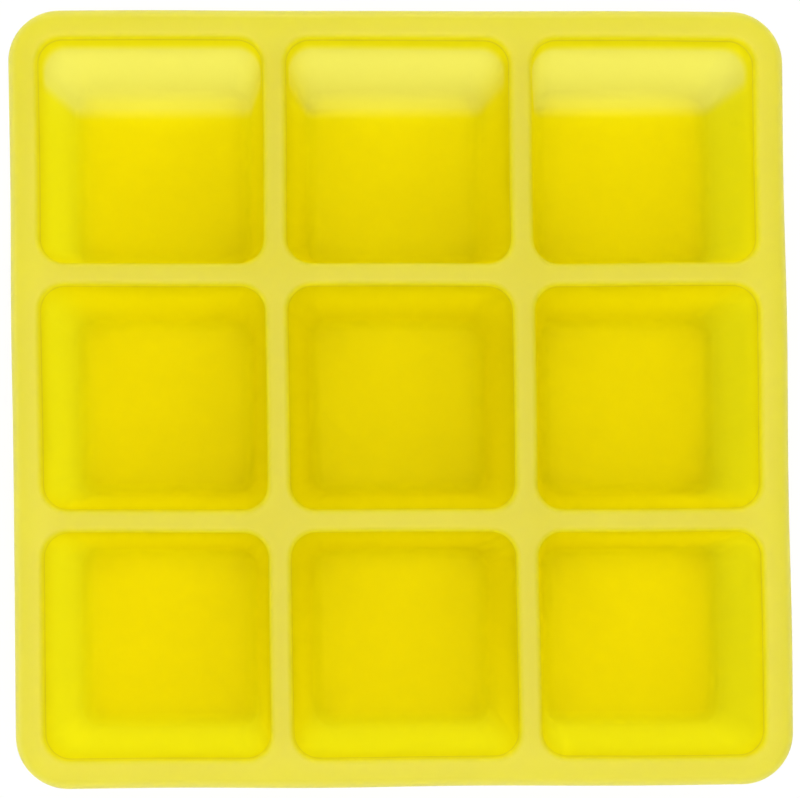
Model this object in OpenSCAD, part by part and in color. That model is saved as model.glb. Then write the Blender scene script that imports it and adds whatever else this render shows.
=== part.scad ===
// Baby food freezer tray: a flexible one-piece moulding with nine square wells that hang
// under a flat frame, divided into its regions. Millimetres, +Z up, -Y is the front.
// The origin is under the middle of the tray, on the surface that the wells stand on.

/* [Tray] */
// Outside width of the square tray
tray_w = 165; // [150:1:180]
// Height from the undersides of the wells to the top of the rim
tray_h = 37; // [30:0.5:45]
// Width of the rim, from the edge of a well to the outside
rim_w = 5.7; // [5:0.1:8]
// Width of a divider between two wells
divider_w = 4.8; // [4:0.1:7]
// Thickness of the flat web that makes the rim and the dividers
web_t = 2.2; // [1.6:0.1:3]

/* [Edges] */
// Depth of the lip that hangs round the outside, measured from the top of the rim
lip_h = 5; // [4:0.5:8]
// Thickness of the lip
lip_t = 1.8; // [1.6:0.1:2.2]
// Rounding of the rim's outer top edge
edge_r = 2.4; // [1:0.1:2.8]
// Rounding of the top edge round each well's mouth
mouth_r = 1.2; // [0.4:0.1:1.4]

/* [Wells] */
// Corner radius of a well's opening
opening_r = 5.4; // [4:0.1:8]
// Width of a well inside, where its walls curve into its floor
floor_w = 40.6; // [36:0.2:44]
// Corner radius of a well at its floor, seen from above
floor_corner_r = 4.8; // [3.5:0.1:6]
// Radius of the curve from a well's walls into its floor
floor_curve_r = 3; // [2:0.1:3.5]
// Thickness of a well's walls
wall_t = 1.8; // [1.4:0.1:2]
// Thickness of a well's floor
floor_t = 2.2; // [1.6:0.1:3]
// Colour of the matt top of the rim and the dividers
frame_colour = "#E6DC55"; // [#E6DC55, #F2E94B, #8FD0C8, #F4A6A0]
// Colour of the smooth wells
well_colour = "#EBDC0A"; // [#EBDC0A, #F5E020, #6FC2B8, #EE8078]

/* [Hidden] */
// Facets of a full circle seen from above, and of the curve into a well's floor
plan_fn = 32;
curve_fn = 16;
// Thickness of the slice that starts a well's hull at its mouth
slice = 0.01;

// Half width of the block of nine openings, and the width and pitch of one opening
block = tray_w / 2 - rim_w;
opening_w = (2 * block - 2 * divider_w) / 3;
pitch = opening_w + divider_w;
// Where the rim and the dividers meet the tops of the wells
web_z = tray_h - web_t;
// Steps of the columns from left to right, and of the rows from front to back
STEPS = [-1, 0, 1];

// Where the lip's section starts, outside the flat web
strip_x = min(rim_w - lip_t, rim_w - edge_r) - 0.1;

// A square with rounded corners, centred
module rounded_square(w, r) {
    flat = w - 2 * r;
    square([w, flat], center = true);
    square([flat, w], center = true);
    for (x = [-1, 1], y = [-1, 1])
        translate([x * flat / 2, y * flat / 2]) circle(r, $fn = plan_fn);
}

// The nine openings, seen from above
module openings() {
    for (x = STEPS, y = STEPS)
        translate([x * pitch, y * pitch]) rounded_square(opening_w, opening_r);
}

// Carries a section along a square's sides and round its corners. The section's x is the
// distance out from a path that is 2 * half wide and has corners of radius r.
module round_square(half, r) {
    straight = 2 * (half - r);
    for (side = [0 : 3]) rotate(90 * side) {
        translate([half, straight / 2, 0]) rotate([90, 0, 0]) linear_extrude(straight) children();
        translate([half - r, half - r, 0])
            rotate_extrude(angle = 90, $fn = plan_fn) translate([r, 0]) children();
    }
}

// Section of the rim's outer edge: the web's last strip, rounded at its outer top edge, and
// the lip that hangs under it
module lip_section() {
    intersection() {
        union() {
            translate([strip_x, web_z]) square([rim_w - strip_x, web_t]);
            translate([rim_w - lip_t, tray_h - lip_h]) square([lip_t, lip_h]);
        }
        union() {
            square([rim_w, tray_h - edge_r]);
            square([rim_w - edge_r, tray_h]);
            translate([rim_w - edge_r, tray_h - edge_r]) circle(edge_r, $fn = plan_fn);
        }
    }
}

// Section of what is cut away to round the top edge at a well's mouth
module mouth_section() {
    difference() {
        translate([0, tray_h - mouth_r]) square(mouth_r);
        translate([mouth_r, tray_h - mouth_r]) circle(mouth_r, $fn = plan_fn);
    }
}

// What is cut away round all nine mouths
module mouths() {
    for (x = STEPS, y = STEPS)
        translate([x * pitch, y * pitch, 0]) round_square(opening_w / 2, opening_r) mouth_section();
}

// The foot of a bowl's corner: a quarter curve of radius curve_r, turned round a corner of
// radius corner_r
module bowl_foot(corner_r, curve_r) {
    rotate_extrude($fn = plan_fn) translate([corner_r - curve_r, curve_r]) intersection() {
        circle(curve_r, $fn = curve_fn);
        translate([0, -curve_r]) square(curve_r);
    }
}

// A full bowl that tapers from a mouth at mouth_z to feet at foot_z. It grows by grow all
// round, as its outside is the inside grown by the thickness of the wall.
module bowl(mouth_z, foot_z, grow) {
    mouth_c = opening_w / 2 - opening_r;
    foot_c = floor_w / 2 - floor_corner_r;
    hull() for (x = [-1, 1], y = [-1, 1]) {
        translate([x * mouth_c, y * mouth_c, mouth_z - slice])
            cylinder(h = slice, r = opening_r + grow, $fn = plan_fn);
        translate([x * foot_c, y * foot_c, foot_z])
            bowl_foot(floor_corner_r + grow, floor_curve_r + grow);
    }
}

// The border round the nine wells, with the flares that the dividers run into
module rim() {
    color(frame_colour) difference() {
        union() {
            translate([0, 0, web_z]) linear_extrude(web_t) difference() {
                rounded_square(2 * (block + strip_x), opening_r + strip_x);
                openings();
                square(2 * (block - opening_r), center = true);
            }
            round_square(block, opening_r) lip_section();
        }
        mouths();
    }
}

// The two pairs of dividers that cross between the wells
module divider_grid() {
    color(frame_colour) difference() {
        translate([0, 0, web_z]) linear_extrude(web_t) difference() {
            square(2 * (block - opening_r), center = true);
            openings();
        }
        mouths();
    }
}

// One thin cup, in a column from the left and a row from the front
module well(column, row) {
    color(well_colour) translate([column * pitch, row * pitch, 0]) difference() {
        bowl(web_z, 0, wall_t);
        bowl(web_z + slice, floor_t, 0);
    }
}

rim();
divider_grid();
well(-1, 1);  // well_back_left
well(0, 1);  // well_back_mid
well(1, 1);  // well_back_right
well(-1, 0);  // well_mid_left
well(0, 0);  // well_centre
well(1, 0);  // well_mid_right
well(-1, -1);  // well_front_left
well(0, -1);  // well_front_mid
well(1, -1);  // well_front_right
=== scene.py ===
# %% [markdown]
# # A soft freezing tray for baby food
#
# The tray is one moulding of yellow silicone: a flat, rounded frame, and nine thin cups that hang
# under it. Each cup takes one portion, and a frozen portion is pushed out from below.
#
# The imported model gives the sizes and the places. This file models the skin of each region again
# with finer curves, and gives it a finish that lets light through, as soft silicone does.

# %% Load the frame and keep its box
import math

import bmesh
import bpy
from mathutils import Matrix, Vector


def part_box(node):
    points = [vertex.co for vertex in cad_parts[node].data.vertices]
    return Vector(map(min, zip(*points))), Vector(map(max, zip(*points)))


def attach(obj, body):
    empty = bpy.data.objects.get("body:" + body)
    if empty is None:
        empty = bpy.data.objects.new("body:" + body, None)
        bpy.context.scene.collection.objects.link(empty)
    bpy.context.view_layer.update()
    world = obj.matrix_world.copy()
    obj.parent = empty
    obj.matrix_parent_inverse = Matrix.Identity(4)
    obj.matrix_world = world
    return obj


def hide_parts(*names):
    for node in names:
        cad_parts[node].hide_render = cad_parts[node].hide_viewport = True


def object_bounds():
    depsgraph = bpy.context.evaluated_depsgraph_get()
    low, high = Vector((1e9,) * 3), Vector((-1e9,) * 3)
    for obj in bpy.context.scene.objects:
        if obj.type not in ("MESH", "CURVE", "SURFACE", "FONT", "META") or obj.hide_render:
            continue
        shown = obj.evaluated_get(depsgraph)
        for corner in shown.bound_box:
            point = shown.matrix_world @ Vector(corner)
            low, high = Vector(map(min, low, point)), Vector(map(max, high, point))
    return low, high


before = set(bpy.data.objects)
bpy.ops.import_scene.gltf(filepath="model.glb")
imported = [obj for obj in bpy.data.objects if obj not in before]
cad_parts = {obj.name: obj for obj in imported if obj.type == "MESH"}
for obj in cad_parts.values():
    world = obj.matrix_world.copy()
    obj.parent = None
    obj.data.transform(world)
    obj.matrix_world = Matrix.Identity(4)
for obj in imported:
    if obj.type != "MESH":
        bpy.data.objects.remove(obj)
cad_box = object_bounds()
print("nodes:", sorted(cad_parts))

# %% [markdown]
# ## Sizes
#
# Sizes are read off the frame, so that the skins stay where the solids are. What the boxes don't
# say, such as the radius of a corner or the thickness of a wall, is a named value here. Everything
# is in metres, +Z is up and -Y is the front.

# %% Sizes
MM = 0.001
STEPS = (-1, 0, 1)  # the columns from left to right, and the rows from front to back
WELLS = {  # each row's place in STEPS, and its wells from left to right
    1: ("well_back_left", "well_back_mid", "well_back_right"),
    0: ("well_mid_left", "well_centre", "well_mid_right"),
    -1: ("well_front_left", "well_front_mid", "well_front_right"),
}

tray_high = cad_box[1]
tray_half = tray_high.x  # the tray is centred on the Z axis
top_z = tray_high.z
web_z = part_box("well_centre")[1].z  # the cups' tops, which meet the web's underside
lip_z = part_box("rim")[0].z

wall = 1.8 * MM
floor_thickness = 2.2 * MM
cup_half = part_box("well_centre")[1].x - wall  # a cup's inside, at its mouth
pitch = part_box("well_mid_right")[1].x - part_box("well_centre")[1].x
floor_half = 20.3 * MM
mouth_corner = 5.4 * MM
floor_curve = 3 * MM
mouth_round = 1.2 * MM
outer_round = 2.4 * MM
lip_thickness = 1.8 * MM
outer_corner = mouth_corner + tray_half - pitch - cup_half
draft = math.atan((cup_half - floor_half) / (web_z - floor_thickness - floor_curve))
print(f"cup {2 * cup_half / MM:.1f} mm wide, pitch {pitch / MM:.1f} mm, web {web_z / MM:.1f} mm up")

# %% [markdown]
# ## The camera
#
# The tray is seen from straight above, by a camera that stands a little to the left of and in
# front of its middle: the walls at the back and on the right show more than their opposites. A
# lens shift brings the tray back to the middle of the picture without turning its sides into a
# keystone, and a slight tilt does the rest, so that the shift stays small.

# %% Camera
CAMERA_PLACE = Vector((-0.0141, -0.0275, top_z + 0.412))
LOOK_AT = Vector((-0.0050, -0.0208, top_z))
SHIFT = Vector((0.0259, 0.1221))
FIELD = 0.1675  # width of the rim's plane that the picture takes in
ROLL = math.radians(-0.49)

camera_data = bpy.data.cameras.new("camera")
camera = bpy.data.objects.new("camera", camera_data)
bpy.context.scene.collection.objects.link(camera)
bpy.context.scene.camera = camera
height = CAMERA_PLACE.z - top_z
camera.location = CAMERA_PLACE
camera_data.lens = camera_data.sensor_width * height / FIELD
camera_data.shift_x, camera_data.shift_y = SHIFT
aim = LOOK_AT - CAMERA_PLACE
forward = Matrix.Rotation(math.atan2(aim.y, height), 3, "X")
sideways = Matrix.Rotation(-math.atan2(aim.x, height), 3, "Y")
camera.rotation_euler = (Matrix.Rotation(ROLL, 3, "Z") @ (forward @ sideways)).to_euler()
print(f"lens {camera_data.lens:.1f} mm, shift {SHIFT.x:.3f}, {SHIFT.y:.3f}")

# %% [markdown]
# ## Tools for modelling
#
# A mesh operator acts on everything that is selected. So each step first deselects all, and then
# picks points, edges or faces by where they are. `pick` does that with a test on each element.

# %% Picking by place
NEAR = 1e-6
NEAR_MIDDLE = 1e-4  # how far a big face's centre may lie from the outline's own
QUAD_MOST = 8  # a face with more corners than this is what an outline encloses


def start(name, half, z):
    """A new object in edit mode, begun as a square face that is 2 * half wide, at height z."""
    bpy.ops.object.select_all(action="DESELECT")
    bpy.ops.mesh.primitive_plane_add(size=2 * half, location=(0, 0, z))
    piece = bpy.context.object
    piece.name = piece.data.name = name
    bpy.ops.object.transform_apply(location=True, rotation=True, scale=True)
    bpy.ops.object.mode_set(mode="EDIT")
    return piece


def pick(kind, test):
    """Selects only the vertices, edges or faces for which test(centre, element) is true."""
    bpy.ops.mesh.select_all(action="DESELECT")
    bpy.ops.mesh.select_mode(type={"verts": "VERT", "edges": "EDGE", "faces": "FACE"}[kind])
    mesh = bmesh.from_edit_mesh(bpy.context.object.data)
    for element in getattr(mesh, kind):
        corners = [element.co] if kind == "verts" else [v.co for v in element.verts]
        centre = sum(corners, Vector()) / len(corners)
        if test(centre, element):
            element.select_set(True)
    mesh.select_flush_mode()
    bmesh.update_edit_mesh(bpy.context.object.data)


def level(z):
    """A test for what lies all at one height."""
    return lambda centre, element: all(abs(v.co.z - z) < NEAR for v in element.verts)


def open_face(z, middle=(0, 0)):
    """A test for the one big face that an outline at height z encloses."""
    def test(centre, face):
        off = max(abs(centre.x - middle[0]), abs(centre.y - middle[1]))
        return off < NEAR_MIDDLE and abs(centre.z - z) < NEAR and len(face.verts) > QUAD_MOST
    return test


# %% [markdown]
# Every outline on the tray starts as a square. Its corners are rounded by bevelling its four
# vertices, and its sides are cut into short lengths, so that the skin can bend softly later. A
# rounded edge is a quarter turn that is walked in a few steps, each step an inset of the last
# face.

# %% Outlines and turns
ROUND_STEPS = 6


def round_outline(half, corner, segments, cuts, z, middle=(0, 0)):
    """Rounds the corners of the square face round middle, and cuts its straight sides."""
    def at_corner(centre, vertex):
        off_x = abs(abs(centre.x - middle[0]) - half)
        off_y = abs(abs(centre.y - middle[1]) - half)
        return max(off_x, off_y, abs(centre.z - z)) < NEAR

    def straight(centre, edge):
        on_side = max(abs(centre.x - middle[0]), abs(centre.y - middle[1])) > half - NEAR
        return on_side and abs(centre.z - z) < NEAR and edge.calc_length() > half - corner

    pick("verts", at_corner)
    bpy.ops.mesh.bevel(offset=corner, segments=segments, affect="VERTICES")
    pick("edges", straight)
    bpy.ops.mesh.subdivide(number_cuts=cuts)


def turn(radius, first=0.0, last=math.pi / 2):
    """The steps round an arc, each as (ahead, aside) for one who sets out straight ahead."""
    angles = [first + (last - first) * i / ROUND_STEPS for i in range(ROUND_STEPS + 1)]
    places = [(radius * math.sin(a), radius * (1 - math.cos(a))) for a in angles]
    return [(b[0] - a[0], b[1] - a[1]) for a, b in zip(places, places[1:])]


# %% [markdown]
# ## The frame
#
# On the real tray the rim and the dividers are one flat web, 2.2 mm thick, with a short lip
# hanging round its outside. It could be cut from a slab with booleans, but their long, thin faces
# shade badly once the edges are rounded. Here each outline is a face with rounded corners that is
# inset step by step round its edge, and the flat web between the outlines is filled last.

# %% Outer edge and lip
OUTER_SEGMENTS = 18
OUTER_CUTS = 39

side_top = top_z - outer_round
tray_frame = start("tray_frame", tray_half, side_top)
round_outline(tray_half, outer_corner, OUTER_SEGMENTS, OUTER_CUTS, side_top)
z = side_top
for up, inward in turn(outer_round):
    pick("faces", open_face(z))
    bpy.ops.mesh.inset(thickness=inward, depth=up)
    z += up
pick("faces", open_face(top_z))
bpy.ops.mesh.delete(type="ONLY_FACE")

pick("edges", level(side_top))
bpy.ops.mesh.extrude_region_move(TRANSFORM_OT_translate={"value": (0, 0, lip_z - side_top)})
bpy.ops.mesh.edge_face_add()
pick("faces", open_face(lip_z))
bpy.ops.mesh.inset(thickness=lip_thickness, depth=0)
bpy.ops.mesh.extrude_region_move(TRANSFORM_OT_translate={"value": (0, 0, web_z - lip_z)})
pick("faces", open_face(web_z))
bpy.ops.mesh.delete(type="ONLY_FACE")
print("outer edge and lip:", len(bmesh.from_edit_mesh(tray_frame.data).faces), "faces")

# %% [markdown]
# The nine mouths are openings in that web. Each has a rounded top edge, so that the silicone
# doesn't feel sharp, and then a short wall down to the web's underside, where the cup joins it.
# The rounded edge ends where it is as steep as the cup's wall, so that no crease shows between the
# two.

# %% Mouths
CORNER_SEGMENTS = 12
STRAIGHT_CUTS = 9
inward_round = mouth_round * math.cos(draft)
land = web_z - top_z + mouth_round * (1 - math.sin(draft))
seam_inset = inward_round - land * math.tan(draft)


def mouth(middle):
    """One opening in the web: its rounded top edge, and the short wall below it."""
    half = cup_half + mouth_round
    corner = mouth_corner + mouth_round
    bpy.ops.mesh.primitive_plane_add(size=2 * half, location=(*middle, top_z))
    round_outline(half, corner, CORNER_SEGMENTS, STRAIGHT_CUTS, top_z, middle)
    z = top_z
    for inward, down in turn(mouth_round, last=math.pi / 2 - draft):
        pick("faces", open_face(z, middle))
        bpy.ops.mesh.inset(thickness=inward, depth=-down)
        z -= down
    pick("faces", open_face(z, middle))
    bpy.ops.mesh.inset(thickness=-land * math.tan(draft), depth=land)
    pick("faces", open_face(web_z, middle))
    bpy.ops.mesh.delete(type="ONLY_FACE")


for row in STEPS:
    for column in STEPS:
        mouth((column * pitch, row * pitch))
for z in (top_z, web_z):
    pick("edges", level(z))
    bpy.ops.mesh.fill(use_beauty=True)
bpy.ops.mesh.select_all(action="SELECT")
bpy.ops.mesh.normals_make_consistent(inside=False)
bpy.ops.object.mode_set(mode="OBJECT")
print("frame:", len(tray_frame.data.polygons), "faces")

# %% [markdown]
# The frame's top is matt, and paler than the cups: partly its matt finish and partly painted sheen.
# Its mouths are as smooth as the cups, and the rounded edge round its outside carries a painted
# highlight, a paler colour. The change from one to the other follows the rounded edges, so each
# point of the frame gets two values that its finish reads: how far down a mouth it is, and how far
# down the outer edge with its painted highlight, each from 0 on the flat top to 1 a millimetre
# below.

# %% Where the finish changes
FINISH_DROP = 1.0 * MM


def reach(x, y):
    """How far out a place of the plan lies: the whole rounded outline is at tray_half."""
    core = tray_half - outer_corner
    return core + math.hypot(max(abs(x) - core, 0), max(abs(y) - core, 0))


into_mouth = tray_frame.data.attributes.new("into_mouth", "FLOAT", "POINT")
# Painted highlight: 0 on the flat top to 1 down the outer rounded edge, where the colour turns
# paler.
painted_edge_highlight = tray_frame.data.attributes.new("painted_edge_highlight", "FLOAT", "POINT")
wells_end = pitch + cup_half + mouth_round
rim_round_begins = tray_half - outer_round
for v in tray_frame.data.vertices:
    x, y, z = v.co
    down = min((top_z - z) / FINISH_DROP, 1.0)
    in_mouth = max(abs(x), abs(y)) < wells_end - NEAR and z > web_z + NEAR
    into_mouth.data[v.index].value = down if in_mouth else 0.0
    on_edge = reach(x, y) > rim_round_begins - NEAR and z > lip_z + NEAR
    painted_edge_highlight.data[v.index].value = down if on_edge else 0.0
print("attributes:", [a.name for a in (into_mouth, painted_edge_highlight)])

# %% [markdown]
# ## The cups
#
# A cup is a thin skin that tapers to a smaller floor. Its corners keep nearly the same radius all
# the way down, so the wall is made by extruding the outline and scaling it, and only the curve
# into the floor is inset. The outside is the same form, one wall thickness larger, and the two are
# bridged at the mouth. One cup is modelled, and copied eight times, each copy with its own mesh.

# %% A bowl
WALL_STEPS = 6
FLOOR_RINGS = (0.85, 0.65, 0.42, 0.2)  # widths of the rings in the floor, as shares of its own


def bowl(half, corner, foot_half, curve, z_foot):
    """A bowl down from an outline: its tapering walls, the curve into the floor, and the floor."""
    round_outline(half, corner, CORNER_SEGMENTS, STRAIGHT_CUTS, web_z)
    wall_foot = z_foot + curve * (1 - math.sin(draft))
    wall_foot_half = foot_half - curve * (1 - math.cos(draft))
    z, now = web_z, half
    for step in range(1, WALL_STEPS + 1):
        pick("faces", open_face(z))
        wanted = half + (wall_foot_half - half) * step / WALL_STEPS
        drop = (web_z - wall_foot) / WALL_STEPS
        bpy.ops.mesh.extrude_region_move(TRANSFORM_OT_translate={"value": (0, 0, -drop)})
        z -= drop
        bpy.ops.transform.resize(value=(wanted / now, wanted / now, 1), center_override=(0, 0, z))
        now = wanted
    for down, inward in turn(curve, first=draft):
        pick("faces", open_face(z))
        bpy.ops.mesh.inset(thickness=inward, depth=-down)
        z -= down
    for now, wanted in zip((1, *FLOOR_RINGS), FLOOR_RINGS):
        pick("faces", open_face(z))
        bpy.ops.mesh.extrude_region_move()
        bpy.ops.transform.resize(value=(wanted / now, wanted / now, 1), center_override=(0, 0, z))
    bpy.ops.mesh.poke()


# %% One cup
seam_half = cup_half + mouth_round - seam_inset
seam_corner = mouth_corner + mouth_round - seam_inset
cup = start("cup", seam_half, web_z)
bowl(seam_half, seam_corner, floor_half, floor_curve, floor_thickness)
pick("edges", level(web_z))
inner_edges = len([e for e in bmesh.from_edit_mesh(cup.data).edges if e.select])
bpy.ops.mesh.select_all(action="SELECT")
bpy.ops.mesh.hide(unselected=False)
bpy.ops.mesh.primitive_plane_add(size=2 * (cup_half + wall), location=(0, 0, web_z))
bowl(cup_half + wall, mouth_corner + wall, floor_half + wall, floor_curve + wall, 0.0)
bpy.ops.mesh.select_all(action="SELECT")
bpy.ops.mesh.flip_normals()
bpy.ops.mesh.reveal()
pick("edges", level(web_z))
bpy.ops.mesh.bridge_edge_loops()
bpy.ops.mesh.select_all(action="SELECT")
bpy.ops.mesh.normals_make_consistent(inside=False)
bpy.ops.object.mode_set(mode="OBJECT")
print("one cup:", len(cup.data.polygons), "faces,", inner_edges, "edges round its mouth")

# %% Nine cups
cups = {}
middles = {}
for row, names in WELLS.items():
    for column, node in zip(STEPS, names):
        copy = cup.copy()
        copy.data = cup.data.copy()
        copy.name = copy.data.name = node.replace("well_", "cup_")
        bpy.context.scene.collection.objects.link(copy)
        middles[node] = (column * pitch, row * pitch)
        copy.data.transform(Matrix.Translation((*middles[node], 0)))
        cups[node] = copy
bpy.data.objects.remove(cup)
print("cups:", [c.name for c in cups.values()])

# %% Smooth shading
SHARP_FROM = math.radians(35)  # only edges that turn more than this stay sharp
for piece in [tray_frame, *cups.values()]:
    bpy.ops.object.select_all(action="DESELECT")
    piece.select_set(True)
    bpy.context.view_layer.objects.active = piece
    bpy.ops.object.shade_smooth_by_angle(angle=SHARP_FROM)
print("shaded", 1 + len(cups), "pieces")

# %% [markdown]
# ## A soft, slightly uneven moulding
#
# Silicone this thin never lies perfectly flat: its edges wander by a few tenths of a millimetre,
# its floors are a little dished, and its sides lean by a third of a degree. A handful of slow
# waves move the points of all ten skins by the same rule, so that the cups stay joined to the
# frame. The feet stay on the table, and the outline is drawn in a little, so that it stays inside
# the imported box.

# %% Slow waves
WAVES = (  # direction in the plane, wavelength, phase, size
    ((1.0, 0.2), 96 * MM, 0.4, 0.16 * MM),
    ((-0.3, 1.0), 74 * MM, 2.1, 0.14 * MM),
    ((0.7, 0.7), 43 * MM, 4.0, 0.07 * MM),
    ((0.8, -0.6), 31 * MM, 1.3, 0.05 * MM),
)
SIDEWAYS = 0.5  # the share of a wave that moves a point in the plan
SINK = 0.5 * sum(size for _, _, _, size in WAVES)  # how far the waves' level lies under the top
EDGE_ROOM = 0.65 * MM  # how far the outline is drawn in
LEAN = 0.0057  # how far the square is pushed out of square, in metres for each metre
CLOSER = 0.0074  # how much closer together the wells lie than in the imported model


def wave(place, turned):
    """How far the waves move a place of the plan; turned gives a second, independent pattern."""
    total = 0.0
    for (dx, dy), length, phase, size in WAVES:
        along = (dy * place.x - dx * place.y) if turned else (dx * place.x + dy * place.y)
        total += size * math.sin(2 * math.pi * along / length + phase)
    return total


print(f"waves of up to {1e3 * 2 * SINK:.2f} mm")

# %% Soften the skins
FLOOR_DISH = 0.35 * MM
FLOOR_REACH = 0.3 * MM  # a point this far under the floor's top isn't on it


def soften(piece, middle=None):
    """Moves a piece's points by the waves, and dishes the floor of a cup round its middle."""
    for v in piece.data.vertices:
        x, y = v.co.x, v.co.y
        lift = min(max(v.co.z / web_z, 0), 1)  # nothing moves up or down at the feet
        on_rim = (reach(x, y) - wells_end) / (rim_round_begins - wells_end)
        shrink = 1 - EDGE_ROOM / tray_half - CLOSER * (1 - min(max(on_rim, 0), 1))
        v.co.x = x * shrink - LEAN * y + SIDEWAYS * wave(v.co, False)
        v.co.y = y * shrink - LEAN * x + SIDEWAYS * wave(v.co, True)
        v.co.z += lift * (wave(Vector((y, x)), False) - SINK)
        if middle and floor_thickness - FLOOR_REACH < v.co.z < floor_thickness + floor_curve:
            inside = max(abs(x - middle[0]), abs(y - middle[1])) / floor_half
            v.co.z -= FLOOR_DISH * max(1 - inside ** 2, 0)
    piece.data.update()


soften(tray_frame)
for node, piece in cups.items():
    soften(piece, middles[node])
print("softened", 1 + len(cups), "pieces")

# %% [markdown]
# ## The finishes
#
# The whole tray is one yellow silicone, and the mould gives it two finishes. The frame's top is
# matt and paler, partly its matt finish and partly painted sheen, with a painted highlight round
# its outer edge. The cups are smooth and deep in colour, with painted shade on their floors and a
# painted glow on the walls along the back. Silicone lets light through, so a share of a
# Translucent BSDF is mixed in: the outside walls glow where light falls on their backs. Subsurface
# scattering would do this too, but it is slow and noisy in walls of 1.8 mm, and a plain mix looks
# the same from a step away.
#
# Three effects are used by both finishes, and each is a node group: the grain of the mould, the
# faint cloudiness of the pigment, and a few specks of dust.

# %% Helpers for nodes


def new_group(name, inputs, outputs):
    """A shader node group with the given sockets, as (name, type, default) and (name, type)."""
    group = bpy.data.node_groups.new(name, "ShaderNodeTree")
    for label, kind, value in inputs:
        socket = group.interface.new_socket(label, in_out="INPUT", socket_type=kind)
        socket.default_value = value
    for label, kind in outputs:
        group.interface.new_socket(label, in_out="OUTPUT", socket_type=kind)
    return group, group.nodes.new("NodeGroupInput"), group.nodes.new("NodeGroupOutput")


def feed(tree, socket, value):
    """Links a socket to value, or sets it where value is a plain number or colour."""
    if isinstance(value, bpy.types.NodeSocket):
        tree.links.new(value, socket)
    else:
        socket.default_value = (*value, 1) if isinstance(value, tuple) else value


def add(tree, kind, **settings):
    """Adds a node, and sets its properties and the defaults of its sockets."""
    node = tree.nodes.new(kind)
    for key, value in settings.items():
        if hasattr(node, key):
            setattr(node, key, value)
        else:
            node.inputs[key.replace("_", " ")].default_value = value
    return node


def math_node(tree, operation, first, second):
    """The result of a Math node, fed by sockets or numbers."""
    node = add(tree, "ShaderNodeMath", operation=operation)
    feed(tree, node.inputs[0], first)
    feed(tree, node.inputs[1], second)
    return node.outputs[0]


# %% [markdown]
# The mould was roughened by sparks, and the silicone has copied it: fine bumps, with larger soft
# ones under them. The frame has both, and on the smooth cups the fine ones are faint. Two noises
# added up are enough, as the grain is far too fine to be modelled.

# %% Mould grain
FINE_GRAIN, BROAD_GRAIN = 3800.0, 420.0  # bumps in a metre, roughly
BROAD_SHARE = 1.5
grain, grain_in, grain_out = new_group(
    "mould_grain",
    [("Position", "NodeSocketVector", (0, 0, 0)), ("Fine", "NodeSocketFloat", 1.0)],
    [("Height", "NodeSocketFloat")],
)
fine = add(grain, "ShaderNodeTexNoise", Scale=FINE_GRAIN, Detail=2.0, Roughness=0.6)
broad = add(grain, "ShaderNodeTexNoise", Scale=BROAD_GRAIN, Detail=2.0)
for node in (fine, broad):
    grain.links.new(grain_in.outputs["Position"], node.inputs["Vector"])
fine_part = math_node(grain, "MULTIPLY", fine.outputs["Fac"], grain_in.outputs["Fine"])
broad_part = math_node(grain, "MULTIPLY", broad.outputs["Fac"], BROAD_SHARE)
grain.links.new(math_node(grain, "ADD", fine_part, broad_part), grain_out.inputs["Height"])
print("group:", grain.name)

# %% [markdown]
# Pigment is stirred into the silicone, and where it flowed it leaves broad, very faint clouds. The
# group puts out a lightness close to 1, by which a finish multiplies its colour.

# %% Cloudy pigment
CLOUD_SCALE = 42.0
cloud, cloud_in, cloud_out = new_group(
    "cloudy_pigment",
    [("Position", "NodeSocketVector", (0, 0, 0)), ("Amount", "NodeSocketFloat", 0.03)],
    [("Lightness", "NodeSocketFloat")],
)
flow = add(
    cloud, "ShaderNodeTexNoise", Scale=CLOUD_SCALE, Detail=3.0, Roughness=0.55, Distortion=0.8
)
cloud.links.new(cloud_in.outputs["Position"], flow.inputs["Vector"])
centred = math_node(cloud, "SUBTRACT", flow.outputs["Fac"], 0.5)
swing = math_node(cloud, "MULTIPLY", centred, cloud_in.outputs["Amount"])
cloud.links.new(math_node(cloud, "ADD", swing, 1.0), cloud_out.inputs["Lightness"])
print("group:", cloud.name)

# %% [markdown]
# Silicone draws dust: a few dots, a quarter of a millimetre across. A Voronoi texture gives one
# point to each cell of a grid, and only a share of the cells, picked by their random colour, shows
# its dot.

# %% Dust specks
DUST_SCALE = 105.0  # cells in a metre
SPECK_RADIUS = 0.014  # as a share of a cell
dust, dust_in, dust_out = new_group(
    "dust_specks",
    [("Position", "NodeSocketVector", (0, 0, 0)), ("Share", "NodeSocketFloat", 0.1)],
    [("Mask", "NodeSocketFloat")],
)
cells = add(dust, "ShaderNodeTexVoronoi", Scale=DUST_SCALE)
dust.links.new(dust_in.outputs["Position"], cells.inputs["Vector"])
near = math_node(dust, "LESS_THAN", cells.outputs["Distance"], SPECK_RADIUS)
chosen = add(dust, "ShaderNodeSeparateColor")
dust.links.new(cells.outputs["Color"], chosen.inputs["Color"])
picked = math_node(dust, "LESS_THAN", chosen.outputs["Red"], dust_in.outputs["Share"])
dust.links.new(math_node(dust, "MULTIPLY", near, picked), dust_out.inputs["Mask"])
print("group:", dust.name)

# %% [markdown]
# ### Colours that change over the tray
#
# The frame's colour follows the two values on its points: the cups' colour down the mouths, and a
# painted highlight round the outer edge. A cup's colour changes with its place: its floor is
# painted darker, as painted shade. The walls along the back get a painted glow, a paler colour both
# on the surface and in the light let through, for light shining through them from behind; the band
# under the lip is left without it, as the lip's painted shade. The painted glow runs on round the
# curve into the floor, where the floor's painted shade is left out.

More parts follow.
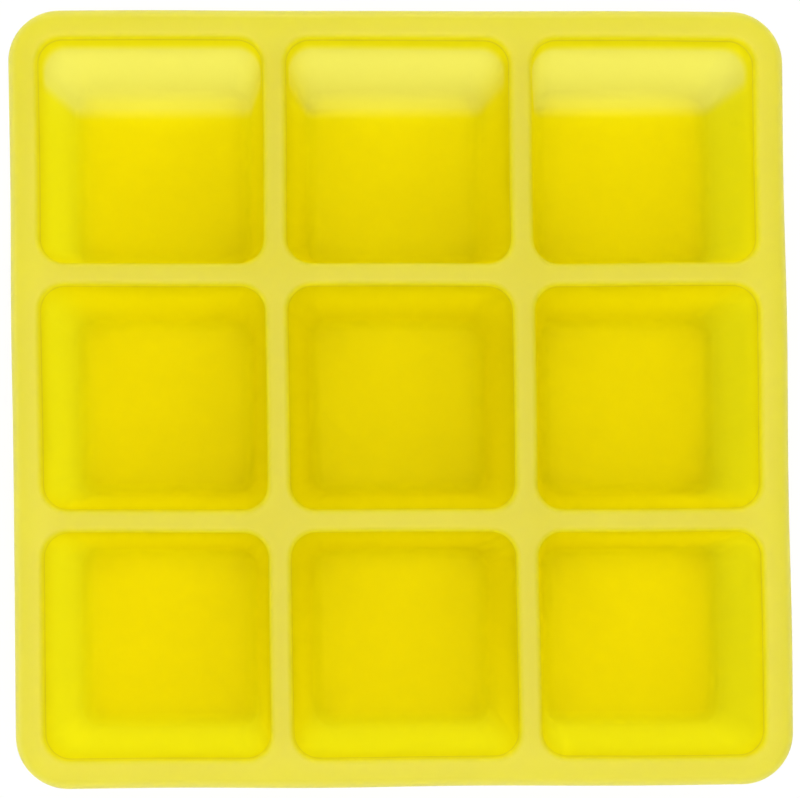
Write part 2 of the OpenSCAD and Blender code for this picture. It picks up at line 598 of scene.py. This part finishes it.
# %% Colours by place
# Painted glow and shade: the painted glow on the back walls fades in along Y, it stops at the lip's
# painted shade, and the floor's painted shade ends between the last two heights.
BACK_FROM, BACK_TO = 65.3 * MM, 68.9 * MM  # along Y, where the glow at the back fades in
LIP_SHADE_TOP, LIP_SHADE_FOOT = 32.5 * MM, 28 * MM  # heights between which the lip's shade ends
FLOOR_FROM, FLOOR_TO = 1.84 * MM, 2.26 * MM  # heights over which the floor's deep colour ends


def ramp(tree, value, low, high):
    """0 where value is at low, and 1 where it is at high."""
    node = add(tree, "ShaderNodeMapRange", interpolation_type="SMOOTHSTEP")
    node.inputs["From Min"].default_value = low
    node.inputs["From Max"].default_value = high
    tree.links.new(value, node.inputs["Value"])
    return node.outputs["Result"]


def blend(tree, factor, under, over):
    """A colour that goes from under to over as factor goes from 0 to 1."""
    node = add(tree, "ShaderNodeMix", data_type="RGBA")
    tree.links.new(factor, node.inputs["Factor"])
    feed(tree, node.inputs["A"], under)
    feed(tree, node.inputs["B"], over)
    return node.outputs["Result"]


def frame_colours(tree, position, finish):
    """The frame's colour, with a painted highlight round its outer edge, and the one that it lets
    through.
    """
    in_mouth = add(tree, "ShaderNodeAttribute", attribute_name="into_mouth").outputs["Fac"]
    outside = add(tree, "ShaderNodeAttribute", attribute_name="painted_edge_highlight").outputs["Fac"]
    own = blend(tree, in_mouth, finish["colour"], finish["mouth_colour"])
    return blend(tree, outside, own, finish["edge_highlight_colour"]), finish["through_colour"]


def cup_colours(tree, position, finish):
    """A cup's colour, with painted floor shade and painted back glow, and the one it lets through.
    """
    place = add(tree, "ShaderNodeSeparateXYZ")
    tree.links.new(position, place.inputs["Vector"])
    at_back = ramp(tree, place.outputs["Y"], BACK_FROM, BACK_TO)
    below_lip = ramp(tree, place.outputs["Z"], LIP_SHADE_TOP, LIP_SHADE_FOOT)
    painted_back_glow = math_node(tree, "MULTIPLY", at_back, below_lip)
    low = ramp(tree, place.outputs["Z"], FLOOR_TO, FLOOR_FROM)
    floor_shade_mask = math_node(tree, "MULTIPLY", low, math_node(tree, "SUBTRACT", 1.0, at_back))
    own = blend(tree, floor_shade_mask, finish["colour"], finish["painted_floor_shade"])
    own = blend(tree, painted_back_glow, own, finish["painted_glow_colour"])
    through = blend(tree, painted_back_glow, finish["through_colour"], finish["painted_glow_colour"])
    return own, blend(tree, floor_shade_mask, through, finish["painted_floor_through"])


# %% [markdown]
# ### One silicone
#
# A finish is a Principled BSDF with a share of Translucent BSDF. What is the same all over is set
# on the shader's own sockets. Only the colours, the roughness and the normal change over the
# surface.

# %% Silicone
SILICONE_IOR = 1.41
SCATTER_RADIUS = (1.0, 0.9, 0.3)  # red light goes furthest into a yellow silicone
SCATTER_SCALE = 2 * MM
GRAIN_DEPTH = 0.05 * MM
SPECK_COLOUR = (0.30, 0.22, 0.02)


def silicone(name, finish, colours):
    """A material from a finish: its colours, its gloss, and how much light it lets through."""
    material = bpy.data.materials.new(name)
    material.use_nodes = True
    tree = material.node_tree
    skin = tree.nodes["Principled BSDF"]
    skin.inputs["IOR"].default_value = SILICONE_IOR
    skin.inputs["Specular IOR Level"].default_value = finish["gloss"]
    skin.inputs["Specular Tint"].default_value = (*finish["gloss_tint"], 1)
    skin.inputs["Subsurface Weight"].default_value = finish["scatter"]
    skin.inputs["Subsurface Radius"].default_value = SCATTER_RADIUS
    skin.inputs["Subsurface Scale"].default_value = SCATTER_SCALE

    position = add(tree, "ShaderNodeTexCoord").outputs["Object"]
    clouds = add(tree, "ShaderNodeGroup", node_tree=cloud)
    specks = add(tree, "ShaderNodeGroup", node_tree=dust)
    bumps = add(tree, "ShaderNodeGroup", node_tree=grain)
    for node in (clouds, specks, bumps):
        tree.links.new(position, node.inputs["Position"])
    clouds.inputs["Amount"].default_value = finish["clouds"]
    specks.inputs["Share"].default_value = finish["specks"]
    bumps.inputs["Fine"].default_value = finish["fine_grain"]

    own, let_through = colours(tree, position, finish)
    shaded = add(tree, "ShaderNodeVectorMath", operation="SCALE")
    tree.links.new(own, shaded.inputs[0])
    tree.links.new(clouds.outputs["Lightness"], shaded.inputs["Scale"])
    dusty = blend(tree, specks.outputs["Mask"], shaded.outputs["Vector"], SPECK_COLOUR)
    tree.links.new(dusty, skin.inputs["Base Color"])

    rough = math_node(tree, "MULTIPLY", bumps.outputs["Height"], finish["roughness_swing"])
    tree.links.new(math_node(tree, "ADD", rough, finish["roughness"]), skin.inputs["Roughness"])
    bump = add(tree, "ShaderNodeBump", Strength=finish["bump"], Distance=GRAIN_DEPTH)
    tree.links.new(bumps.outputs["Height"], bump.inputs["Height"])
    tree.links.new(bump.outputs["Normal"], skin.inputs["Normal"])

    through = add(tree, "ShaderNodeBsdfTranslucent")
    feed(tree, through.inputs["Color"], let_through)
    tree.links.new(bump.outputs["Normal"], through.inputs["Normal"])
    mix = add(tree, "ShaderNodeMixShader")
    mix.inputs["Fac"].default_value = finish["through"]
    tree.links.new(skin.outputs["BSDF"], mix.inputs[1])
    tree.links.new(through.outputs["BSDF"], mix.inputs[2])
    tree.links.new(mix.outputs["Shader"], tree.nodes["Material Output"].inputs["Surface"])
    return material


# %% The two finishes
CUP_COLOUR = (0.99, 0.935, 0.003)
FRAME_FINISH = {
    # Painted sheen in part: the frame's colour is paler than the cups', besides its matt finish;
    # the edge highlight colour is a painted highlight.
    "colour": (0.675, 0.635, 0.05), "mouth_colour": CUP_COLOUR, "edge_highlight_colour": (0.84, 0.84, 0.26),
    "scatter": 0.5, "through": 0.5, "through_colour": (0.97, 0.92, 0.12),
    "gloss": 0.5, "gloss_tint": (1, 1, 1), "roughness": 0.34, "roughness_swing": 0.05,
    "bump": 0.5, "fine_grain": 1.0, "clouds": 0.05, "specks": 0.04,
}
CUP_FINISH = {
    # Painted shade: this floor colour, and the floor's through colour below, make each cup's floor
    # darker than its walls.
    "colour": CUP_COLOUR, "painted_floor_shade": (0.85, 0.74, 0.003),
    # Painted glow: a paler colour on the back walls, for light that shines through them.
    "painted_glow_colour": (0.985, 0.965, 0.375),
    "scatter": 0.0, "through": 0.85, "through_colour": (0.999, 0.965, 0.09),
    "painted_floor_through": (0.975, 0.938, 0.09),
    "gloss": 0.3, "gloss_tint": (1, 0.9, 0.12), "roughness": 0.30, "roughness_swing": 0.05,
    "bump": 0.16, "fine_grain": 0.35, "clouds": 0.05, "specks": 0.05,
}
frame_skin = silicone("frame_silicone", FRAME_FINISH, frame_colours)
cup_skin = silicone("cup_silicone", CUP_FINISH, cup_colours)
tray_frame.data.materials.append(frame_skin)
for piece in cups.values():
    piece.data.materials.append(cup_skin)
print("finishes:", frame_skin.name, cup_skin.name)

# %% [markdown]
# ## Light
#
# The tray lies in soft, even daylight. One large lamp hangs overhead, and seven more stand round
# it, so that no side is dark. The strongest of these is behind the tray: it lights the backs of
# the rear walls, and shines through them. The right side gets the least, as in the picture.

# %% Lamps


def softbox(name, azimuth, elevation, strength, size=0.6, distance=1.2):
    """A square lamp that faces the tray. A surface that faces it is lit to strength."""
    data = bpy.data.lights.new(name, "AREA")
    data.size = size
    data.energy = strength * (math.pi * distance) ** 2
    lamp = bpy.data.objects.new(name, data)
    bpy.context.scene.collection.objects.link(lamp)
    a, e = math.radians(azimuth), math.radians(elevation)
    out = Vector((math.cos(a) * math.cos(e), math.sin(a) * math.cos(e), math.sin(e)))
    lamp.location = out * distance
    lamp.rotation_euler = (-out).to_track_quat("-Z", "Y").to_euler()
    lamp.visible_camera = False


LAMPS = (  # name, azimuth, elevation, strength
    ("overhead", 0, 90, 0.46),
    ("high_front_right", 315, 60, 0.20),
    ("high_front_left", 225, 60, 0.17),
    ("high_back_right", 45, 60, 0.10),
    ("back", 90, 35, 0.37),
    ("left", 180, 35, 0.24),
    ("front", 270, 35, 0.24),
    ("right", 0, 35, 0.05),
)
for lamp in LAMPS:
    softbox(*lamp)
print("lamps:", [name for name, *_ in LAMPS])

# %% [markdown]
# ## World and table
#
# The tray stands on a pale table in front of a white background. Making them white with more lamps
# would bleach the tray. Instead their materials ask what kind of ray has met them: to the camera,
# and to a gloss or glass, they are plain white, and for the light that falls on the tray they are
# what they are. The table keeps a tenth of its own look, so that the tray's shadow stays on it.

# %% World
WORLD_LIGHT = 0.05


def seen_directly(tree):
    """1 for rays from the camera, by a gloss or glass, but 0 for what soft silicone scatters."""
    path = add(tree, "ShaderNodeLightPath")
    total = math_node(tree, "ADD", path.outputs["Is Camera Ray"], path.outputs["Is Glossy Ray"])
    total = math_node(tree, "ADD", total, path.outputs["Is Transmission Ray"])
    sharp = math_node(tree, "SUBTRACT", 1.0, path.outputs["Is Diffuse Ray"])
    return math_node(tree, "MULTIPLY", math_node(tree, "MINIMUM", total, 1.0), sharp)


world = bpy.data.worlds.new("studio")
bpy.context.scene.world = world
world.use_nodes = True
tree = world.node_tree
shown = add(tree, "ShaderNodeMix", data_type="FLOAT")
shown.inputs["A"].default_value = WORLD_LIGHT
shown.inputs["B"].default_value = 1.0
tree.links.new(seen_directly(tree), shown.inputs["Factor"])
tree.links.new(shown.outputs["Result"], tree.nodes["Background"].inputs["Strength"])
tree.nodes["Background"].inputs["Color"].default_value = (1, 1, 1, 1)
print("world light:", WORLD_LIGHT)

# %% Table
TABLE_SIZE = 6
TABLE_Z = -0.2 * MM  # just under the feet, so that no two faces share a place
TABLE_COLOUR = (0.90, 0.90, 0.90, 1)
TABLE_ROUGHNESS = 0.9
TABLE_SHOWN = 0.9  # how much of the table's colour is plain white to the camera

bpy.ops.object.select_all(action="DESELECT")
bpy.ops.mesh.primitive_plane_add(size=TABLE_SIZE, location=(0, 0, TABLE_Z))
table = bpy.context.object
table.name = "table"
bpy.ops.object.transform_apply(location=True, rotation=True, scale=True)
table_finish = bpy.data.materials.new("table_white")
table_finish.use_nodes = True
tree = table_finish.node_tree
paint = tree.nodes["Principled BSDF"]
paint.inputs["Base Color"].default_value = TABLE_COLOUR
paint.inputs["Roughness"].default_value = TABLE_ROUGHNESS
white = add(tree, "ShaderNodeEmission")
white.inputs["Color"].default_value = (1, 1, 1, 1)
share = add(tree, "ShaderNodeMixShader")
part = math_node(tree, "MULTIPLY", seen_directly(tree), TABLE_SHOWN)
tree.links.new(part, share.inputs["Fac"])
tree.links.new(paint.outputs["BSDF"], share.inputs[1])
tree.links.new(white.outputs["Emission"], share.inputs[2])
tree.links.new(share.outputs["Shader"], tree.nodes["Material Output"].inputs["Surface"])
table.data.materials.append(table_finish)
print("table finish:", table_finish.name)

# %% [markdown]
# ## Every piece on one body
#
# Nothing on the tray moves against anything else, so every piece rides on the one body. The frame
# piece stands for the rim and the dividers, and each cup for its own well.

# %% Rides and replacements
bpy.context.scene.view_settings.view_transform = "Standard"
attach(tray_frame, "root")
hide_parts("rim", "divider_grid")
for node, piece in cups.items():
    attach(piece, "root")
    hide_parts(node)
print("pieces:", 1 + len(cups))

# %% The imported box
print("packed box", [tuple(round(1e3 * v, 2) for v in c) for c in cad_box])
